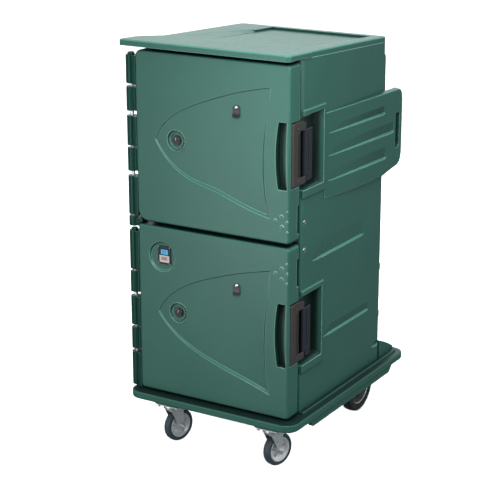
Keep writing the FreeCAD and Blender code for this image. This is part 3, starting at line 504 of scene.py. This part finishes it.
def figures(bm, number, at, u, n, height, width, lift):
    """Plain seven-stroke figures centred on a point, reading along u, upright in Z."""
    v = Vector((0, 0, 1))
    digits = [int(c) for c in str(number)]
    w, step = 0.52 * height * MM, 0.86 * height * MM
    start = at - u * (step * (len(digits) - 1) + w) / 2 - v * height * MM / 2
    for i, d in enumerate(digits):
        for key in FIGURES[d]:
            base = start + u * step * i
            a, b = (base + u * w * x + v * height * MM * y for x, y in STROKES[key])
            stick(bm, a, b, n, width * MM, lift * MM)


def bead(bm, half_x, lo, hi, y, corner, r):
    """A closed round bead of radius r along a rounded rectangle that faces the doors, all in mm."""
    path = []
    for px, pz, a0 in ((half_x - corner, hi - corner, 0), (-half_x + corner, hi - corner, 90),
                       (-half_x + corner, lo + corner, 180), (half_x - corner, lo + corner, 270)):
        for k in range(7):
            a = math.radians(a0 + 15 * k)
            path.append((px + corner * math.cos(a), pz + corner * math.sin(a), a))
    rings = []
    for x, z, a in path:
        out = Vector((math.cos(a), 0, math.sin(a)))
        ring = []
        for i in range(8):
            b = TAU * i / 8
            ring.append(bm.verts.new(pt(x, y, z) + (out * math.cos(b) * r + BACK * math.sin(b) * r) * MM))
        rings.append(ring)
    for a, b in zip(rings, rings[1:] + rings[:1]):
        for i in range(8):
            k = (i + 1) % 8
            bm.faces.new((a[i], a[k], b[k], b[i]))


# ---------------------------------------------------------------- door details
OPENING = {"upper": (1070, 1730), "lower": (330, 975)}      # bottom and top of each compartment's mouth
FACE_Y = -488         # the doors' flat front face
VENT_X = -177         # the axis of both vents
MOUTH_X = 272         # half the width of a compartment's mouth
SEAL_Y = -401.8       # the face of the gaskets
LATCH_X, LATCH_Y = 376, -438        # outer side and front of the latch frames
KEEPER_X, KEEPER_Y = 339, -326      # the keepers' screws, on the floors of the latch pockets
for tag, vent_z, latch_z in (("upper", 1411, 1408.5), ("lower", 647, 639.0)):
    body = tag + "_door"
    bm = bmesh.new()
    collar = [(28.5, 0), (34, 0), (33.6, 2.4), (32.4, 3.6), (30.6, 3.6), (29.2, 2.4)]
    turned(bm, collar, pt(VENT_X, FACE_Y, vent_z), FRONT, 48, loop=True)
    lip = [(45.6 + 1.7 * math.cos(a), 1.4 * math.sin(a)) for a in (TAU * i / 8 for i in range(8))]
    turned(bm, lip, pt(VENT_X, -496.4, vent_z), FRONT, 64, loop=True)
    piece("vent_collar_" + tag, bm, "green_shell", body)
    bm = bmesh.new()
    block(bm, (VENT_X - 1.2, -501.4, vent_z + 2), (VENT_X + 1.2, -500.2, vent_z + 13), 0.3, 1)
    for k in range(4):
        a = math.radians(90 * k)
        ends = [pt(VENT_X + r * math.cos(a), FACE_Y, vent_z + r * math.sin(a)) for r in (36.4, 39.6)]
        stick(bm, *ends, FRONT, 1.2 * MM, 0.5 * MM)
    piece("vent_marks_" + tag, bm, "print_white", body)
    lo, hi = OPENING[tag]
    bm = bmesh.new()
    for out, r in ((26, 1.5), (12, 1.5), (8.4, 1.0)):
        bead(bm, MOUTH_X + out, lo - out, hi + out, SEAL_Y, 34 - (30 - out) * 0.7, r)
    piece("gasket_beads_" + tag, bm, "seal_rubber", body)
    bm = bmesh.new()
    for dz in (-112, 104):
        screw(bm, pt(LATCH_X, LATCH_Y, latch_z + dz), RIGHT, 4.2)
    piece("latch_screws_" + tag, bm, "latch_grey", body)
    # a thin black plate on the outer face of the latch frame beside its slot: painted shade of the slot
    bm = bmesh.new()
    block(bm, (LATCH_X - 0.6, LATCH_Y, latch_z - 96), (LATCH_X + 0.5, -418.6, latch_z + 84), 0.3, 1)
    piece("latch_slot_shade_" + tag, bm, "black_trim", body)
    bm = bmesh.new()
    for dz in (-62, 0, 62):
        screw(bm, pt(KEEPER_X, KEEPER_Y, latch_z + dz), RIGHT, 5.5)
    piece("keeper_screws_" + tag, bm, "steel", "cabinet")

# the display: a lit window over a label of plain colour blocks, with screws in the bezel corners
SCREEN_Y = -497.6     # the front of the display window
bm = bmesh.new()
block(bm, (-263.5, SCREEN_Y, 900.5), (-228.5, -496.6, 922), 0.4, 1)
piece("display_window", bm, "lcd_blue", "lower_door")
bm = bmesh.new()
figures(bm, 35, pt(-249, SCREEN_Y, 911), RIGHT, FRONT, 13, 1.9, 0.25)
degree = [(0, 0), (1.9, 0), (1.9, .25), (1.1, .25), (1.1, .1), (0, .1)]
turned(bm, degree, pt(-235.5, SCREEN_Y, 916), FRONT, 16)
piece("display_figures", bm, "black_trim", "lower_door")
for name, mat, lo, hi in (("label_card", "label_white", (-271, -497.4, 865), (-221, -496.6, 896)),
                          ("label_panel", "label_tan", (-262, -497.9, 874), (-231, -497.2, 890)),
                          ("label_band", "label_cream", (-269, -498.0, 866.5), (-238, -497.3, 874.5))):
    bm = bmesh.new()
    block(bm, lo, hi, 0.3, 1)
    piece(name, bm, mat, "lower_door")
bm = bmesh.new()
for x in (-275.4, -216.6):
    for z in (860.6, 933.4):
        screw(bm, pt(x, -498.4, z), FRONT, 2.2)
piece("bezel_screws", bm, "steel", "lower_door")

# ---------------------------------------------------------------- cabinet details
# two screws with washers in each hinge leaf of the body, given by its bottom and top
LEAF_X, LEAF_Y = -388, -349
WASHER = [(0, 0), (9.5, 0), (9.5, 1.2), (8.6, 1.8), (0, 1.8)]
bm = bmesh.new()
for lo, hi in ((1511, 1616), (1248, 1350), (699, 795), (434, 534), (1003, 1046)):
    mid, gap = (lo + hi) / 2, max(10, (hi - lo) / 2 - 18)
    for z in (mid - gap, mid + gap):
        turned(bm, WASHER, pt(LEAF_X, LEAF_Y, z), LEFT, 28)
        screw(bm, pt(LEAF_X - 1.6, LEAF_Y, z), LEFT, 6.5)
piece("hinge_screws", bm, "steel", "cabinet")

# hollow domed caps over the tops of the two hinge pins
PIN_X, PIN_Y = -418, -470
CAP = [(0, 11.2), (8, 11.0), (13, 9.4), (15.2, 6), (15.5, 0), (13.6, 0), (13.4, 6), (0, 9.8)]
bm = bmesh.new()
for z in (1752.4, 982.4):
    turned(bm, CAP, pt(PIN_X, PIN_Y, z), UP, 32)
piece("hinge_pin_caps", bm, "hinge_green", "cabinet")

# the rear module: screws in its flange, the cord hooks and the corners of its face
MODULE_Y = 460        # the face
bm = bmesh.new()
for x in (-306, 0, 306):
    for z in (1196, 1657):
        screw(bm, pt(x, 466, z), BACK, 6)
for z in (703, 473):
    screw(bm, pt(310, 368, z), BACK, 4.5)
for x in (-238, 238):
    for z in (1442, 1598):
        screw(bm, pt(x, MODULE_Y, z), BACK, 4)
piece("module_screws", bm, "steel", "cabinet")

# eleven marks around each dial, over 270 degrees, and the figures 0 to 9
DIAL_Z, DIALS_X = 1520, (60, 190)
bm = bmesh.new()
for x in DIALS_X:
    c = pt(x, MODULE_Y, DIAL_Z)
    for k in range(11):
        a = math.radians(-135 + 27 * k)
        d = Vector((-math.sin(a), 0, math.cos(a)))
        stick(bm, c + d * 30.5 * MM, c + d * (36.5 if k % 5 == 0 else 34) * MM, BACK, 1.1 * MM, 0.4 * MM)
        if k < 10:
            figures(bm, k, c + d * 43 * MM, LEFT, BACK, 6.2, 0.9, 0.4)
# a line over the power switch and a ring under it
SWITCH_X = -210
stick(bm, pt(SWITCH_X, MODULE_Y, 1553), pt(SWITCH_X, MODULE_Y, 1562), BACK, 1.4 * MM, 0.4 * MM)
turned(bm, [(5, 0), (5, .4), (3.7, .4), (3.7, 0)], pt(SWITCH_X, MODULE_Y, 1490), BACK, 24, loop=True)
piece("module_marks", bm, "print_white", "cabinet")

DOME = [(0, 0), (7, 0), (7, 1.4), (6, 2.2), (5.2, 2.2), (5.0, 3.4), (3.8, 4.8), (1.8, 5.5), (0, 5.7)]
for name, x, mat in (("lamp_power", -150, "lamp_green"), ("lamp_heat", -110, "lamp_amber")):
    bm = bmesh.new()
    turned(bm, DOME, pt(x, MODULE_Y, 1523), BACK, 28)
    piece(name, bm, mat, "cabinet")

# louvres low on the module's face
bm = bmesh.new()
for i in range(9):
    z = 1220 + i * 18
    block(bm, (172, 459.5, z + 1.6), (288, 460.7, z + 9.5), 0.4, 1, ("X", 32))
piece("module_louvres", bm, "module_grey", "cabinet")

# inside each compartment: a louvred air grille on the back wall, and the screws of the rails
for tag, (lo, hi) in OPENING.items():
    bm = bmesh.new()
    mid = (lo + hi) / 2
    block(bm, (-150, 302.5, mid - 64), (150, 307.5, mid + 64), 2.0)
    for i in range(6):
        block(bm, (-132, 296.5, mid - 50 + i * 18), (132, 301.5, mid - 40 + i * 18), 1.2, 1, ("X", -28))
    piece("air_grille_" + tag, bm, "liner_plastic", "cabinet")
    bm = bmesh.new()
    for x in (-138, 138):
        for z in (mid - 54, mid + 54):
            screw(bm, pt(x, 302.6, z), FRONT, 4.2)
    for s in (-1, 1):
        for y in (-300, -20, 260):
            for z in (lo + 34, mid + 8, hi - 34):
                screw(bm, pt(s * 234, y, z), RIGHT * -s, 3.6)
    piece("rail_screws_" + tag, bm, "steel", "cabinet")

# ---------------------------------------------------------------- wheels
TURN = math.radians(-16)            # how far the casters stand turned at rest
AX = Vector((math.cos(TURN), math.sin(TURN), 0))
CASTER_X, CASTER_Y = 258, -437      # a swivel axis
TRAIL, AXLE_Z = 35, 75              # a caster's axle behind that axis and above the floor
REAR_X, REAR_Y, REAR_Z = 276.5, 325, 127      # the middle of a rear wheel
RACEWAY = [(29, 1), (37, 1), (39.5, 4), (40, 8), (38, 9.5), (36.5, 10), (38, 10.6), (39.5, 12), (38.5, 16),
           (35, 18), (29, 18)]
CASTER_RIM = [(56.4, 13), (56.4, 15.8), (55.2, 17.0), (51.5, 17.0), (49.5, 15.4), (48.4, 13.5)]
BEARING_RIM = [(17.2, 14), (17.2, 17.6), (16, 18.8), (12.6, 18.8), (11.6, 17)]
REAR_RIM = [(92.6, 14), (92.6, 17.4), (91.4, 18.8), (88.6, 18.8), (87.2, 17.4), (86.6, 14)]
TYRE_LINE = [(123.2, 22.4), (124.2, 23.2), (122.6, 24.1), (121.4, 23.4)]


def at_caster(s, x, y, z):
    """A point in the frame of caster s: swivel axis at 0, wheel toward +y, axle along x."""
    cx, cy = s * CASTER_X, CASTER_Y
    return pt(cx + x * math.cos(TURN) - y * math.sin(TURN), cy + x * math.sin(TURN) + y * math.cos(TURN), z)


for tag, s in (("left", -1), ("right", 1)):
    bm = bmesh.new()
    turned(bm, RACEWAY, at_caster(s, 0, 0, 164), UP, 48, loop=True)
    for side in (-1, 1):
        hex_nut(bm, at_caster(s, side * 32, TRAIL, AXLE_Z), AX * side, 8.6, 5)
        turned(bm, [(6, 0), (6, 2.4), (3, 3.6), (0, 3.8)], at_caster(s, side * 26, 75, 155), AX * side, 20)
    piece("caster_raceway_" + tag, bm, "caster_zinc", tag + "_caster")
    bm = bmesh.new()
    for side in (-1, 1):
        turned(bm, CASTER_RIM, at_caster(s, 0, TRAIL, AXLE_Z), AX * side, 64, loop=True)
        turned(bm, BEARING_RIM, at_caster(s, 0, TRAIL, AXLE_Z), AX * side, 40, loop=True)
    piece("caster_rim_" + tag, bm, "hub_silver", tag + "_caster_wheel")
    bm = bmesh.new()
    for k in range(4):
        c = at_caster(s, 0, 101 + 5.2 * k, 163.4)
        for e in (-1, 1):
            stick(bm, c, c + AX * e * 15 * MM, UP, 2.2 * MM, 1.0 * MM)
    piece("brake_ribs_" + tag, bm, "black_trim", tag + "_brake")
    wheel = tag + "_rear_wheel"
    mid = pt(s * REAR_X, REAR_Y, REAR_Z)
    bm = bmesh.new()
    for side in (-1, 1):
        turned(bm, REAR_RIM, mid, RIGHT * side, 96, loop=True)
    piece("rear_rim_" + tag, bm, "rim_bright", wheel)
    bm = bmesh.new()
    for side in (-1, 1):
        for k in range(6):
            a = math.radians(60 * k)
            screw(bm, mid + Vector((side * 4.2, 34 * math.cos(a), 34 * math.sin(a))) * MM, RIGHT * side, 4)
        turned(bm, TYRE_LINE, mid, RIGHT * side, 96, loop=True)
    piece("rear_wheel_trim_" + tag, bm, "tyre_black", wheel)

bm = bmesh.new()
for s in (-1, 1):
    for dx in (-46, 46):
        for dy in (-34, 34):
            hex_nut(bm, pt(s * CASTER_X + dx, CASTER_Y + dy, 180.2), -UP, 7.4, 5)
    hex_nut(bm, pt(s * 318, REAR_Y, REAR_Z), RIGHT * s, 9.5, 6)
piece("base_nuts", bm, "caster_zinc", "cabinet")

# ---------------------------------------------------------------- floor, light, camera
def stage_mat(name, rgb):
    """A plain matt material, clouded very slightly."""
    t = Tree(name)
    n = t.noise(2.0, 3.0)
    t.set(Base_Color=t.ramp(n, [(0.3, scaled(rgb, 0.985)), (0.7, rgb)]), Roughness=0.6)
    t.bsdf.inputs["Specular IOR Level"].default_value = 0.2
    return t.mat


FLOOR_HALF = 30       # half the width of the floor, in metres
bm = bmesh.new()
bmesh.ops.create_grid(bm, x_segments=1, y_segments=1, size=FLOOR_HALF)
for v in bm.verts:
    v.co.z = LO.z - 0.5 * MM
floor = mesh_object("studio_floor", bm, stage_mat("studio_floor", (0.90, 0.90, 0.90)), smooth=False)
floor.visible_diffuse = False
floor.visible_glossy = False
floor.visible_shadow = False
floor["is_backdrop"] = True

# a pale curved wall far behind, seen by the camera only
WALL = [(28000, -900), (28000, 4000), (27000, 12000), (22000, 20000), (12000, 26000), (0, 28000)]
shine = Tree("studio_wall")
black = shine.ramp(shine.noise(0.2, 2.0), [(0.3, (0.0, 0.0, 0.0)), (0.7, (0.004, 0.004, 0.004))])
shine.set(Base_Color=black, Roughness=1.0)
shine.set(Emission_Color=(0.98, 0.98, 0.98, 1))
shine.bsdf.inputs["Emission Strength"].default_value = 1.0
bm = bmesh.new()
turned(bm, WALL, Vector((0, 0, 0)), UP, 64)
wall = mesh_object("studio_wall", bm, shine.mat)
for kind in ("diffuse", "glossy", "transmission", "shadow"):
    setattr(wall, "visible_" + kind, False)
wall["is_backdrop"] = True

# the studio: bright above and dim below, with soft boxes over the top, in front, at the right and behind
SKY = ((0.0, 0.10), (0.45, 0.24), (0.56, 0.60), (1.0, 0.78))       # brightness from straight down to up
world = bpy.data.worlds.new("studio")
SCENE.world = world
world.use_nodes = True
wt = world.node_tree
bg = next(n for n in wt.nodes if n.type == "BACKGROUND")
sky = wt.nodes.new("ShaderNodeTexCoord")
axes = wt.nodes.new("ShaderNodeSeparateXYZ")
fade = wt.nodes.new("ShaderNodeValToRGB")
lift = wt.nodes.new("ShaderNodeMapRange")
wt.links.new(sky.outputs["Generated"], axes.inputs[0])
wt.links.new(axes.outputs["Z"], lift.inputs["Value"])
lift.inputs["From Min"].default_value = -1.0
wt.links.new(lift.outputs["Result"], fade.inputs["Fac"])
ramp = fade.color_ramp.elements
while len(ramp) < 4:
    ramp.new(0.5)
for e, (pos, v) in zip(ramp, SKY):
    e.position = pos
    e.color = (v * 0.93, v, v * 1.02, 1)
wt.links.new(fade.outputs["Color"], bg.inputs["Color"])
bg.inputs["Strength"].default_value = 1.0


def lamp(name, kind, loc, target, power, size=None):
    """A lamp aimed at a point; an area lamp also has a width and a height."""
    d = bpy.data.lights.new(name, kind)
    d.energy = power
    if size:
        d.shape = "RECTANGLE"
        d.size, d.size_y = size
    o = bpy.data.objects.new(name, d)
    SCENE.collection.objects.link(o)
    o.location = loc
    o.rotation_euler = (Vector(target) - Vector(loc)).to_track_quat("-Z", "Y").to_euler()
    o.visible_camera = False
    return o


lamp("top_softbox", "AREA", (-0.3, 0.3, 4.4), (0, 0, 1.8), 78, (2.6, 2.6))
lamp("key_softbox", "AREA", (1.0, -1.65, 2.1), (0.32, -0.45, 1.30), 28, (0.7, 1.3))
lamp("front_card", "AREA", (-1.45, -4.0, 0.42), (0.25, -0.5, 1.15), 37, (1.2, 2.2))
lamp("side_softbox", "AREA", (4.6, 1.0, 2.4), (0.3, 0, 1.0), 46, (2.0, 3.0))
lamp("back_softbox", "AREA", (-2.6, 4.6, 3.6), (0, 0, 1.8), 38, (5.0, 3.0))
back_fill = lamp("back_fill", "AREA", (-2.4, 4.4, 1.5), (0, 0.4, 1.0), 48, (2.0, 2.0))
back_fill.visible_glossy = False
floor_sun = lamp("floor_sun", "SUN", (0, 0, 6), (0.3, 0.5, 0), 3.3)
floor_sun.data.use_shadow = False
lit = bpy.data.collections.new("floor_only")
lit.objects.link(floor)
floor_sun.light_linking.receiver_collection = lit

CAM_AT = (3.3875, -5.804, 2.887)    # metres
YAW, PITCH = math.radians(31.02), math.radians(17.04)
FOCAL, SENSOR = 112.176, 36.0       # millimetres
cam_data = bpy.data.cameras.new("camera")
cam = bpy.data.objects.new("camera", cam_data)
SCENE.collection.objects.link(cam)
SCENE.camera = cam
cam_data.sensor_width = SENSOR
cam_data.lens = FOCAL
cam_data.clip_end = 100
cam.location = CAM_AT
look = Vector((-math.sin(YAW) * math.cos(PITCH), math.cos(YAW) * math.cos(PITCH), -math.sin(PITCH)))
cam.rotation_euler = look.to_track_quat("-Z", "Y").to_euler()

SCENE.view_settings.view_transform = "Standard"
SCENE.view_settings.look = "None"

lo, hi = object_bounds()
